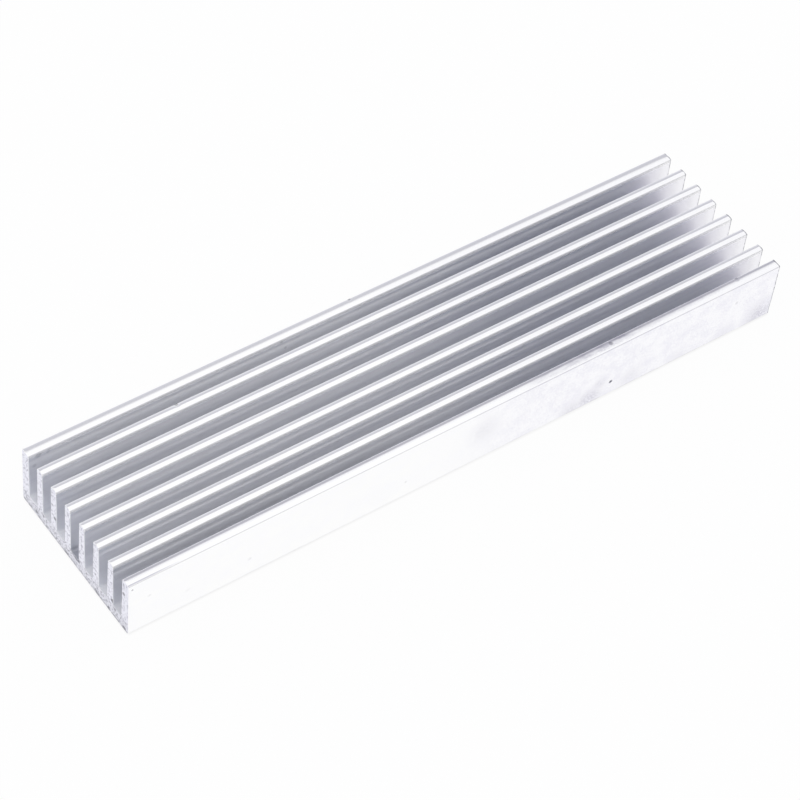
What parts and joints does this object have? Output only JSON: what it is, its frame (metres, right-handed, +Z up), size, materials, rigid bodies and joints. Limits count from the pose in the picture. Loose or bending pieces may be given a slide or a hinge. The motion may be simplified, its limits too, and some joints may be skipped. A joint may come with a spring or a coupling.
{
  "type": "heat sink",
  "caption": "Straight extruded aluminium heat sink bar with a flat base plate and a row of parallel upright fins, sawn square at both ends, for cooling a chip or power module.",
  "frame": {"origin": "middle of the flat underside, which presses on the part to be cooled", "axes": "+X along the bar, +Y across the fins, +Z up towards the fin tips"},
  "size_m": [0.1, 0.0244, 0.0094],
  "materials": {
    "bare_aluminium": "bare as-extruded aluminium, satin, with fine lengthwise die lines on the long faces and sawn ends"
  },
  "bodies": {
    "root": {"heat_sink": "bare_aluminium"}
  },
  "joints": []
}
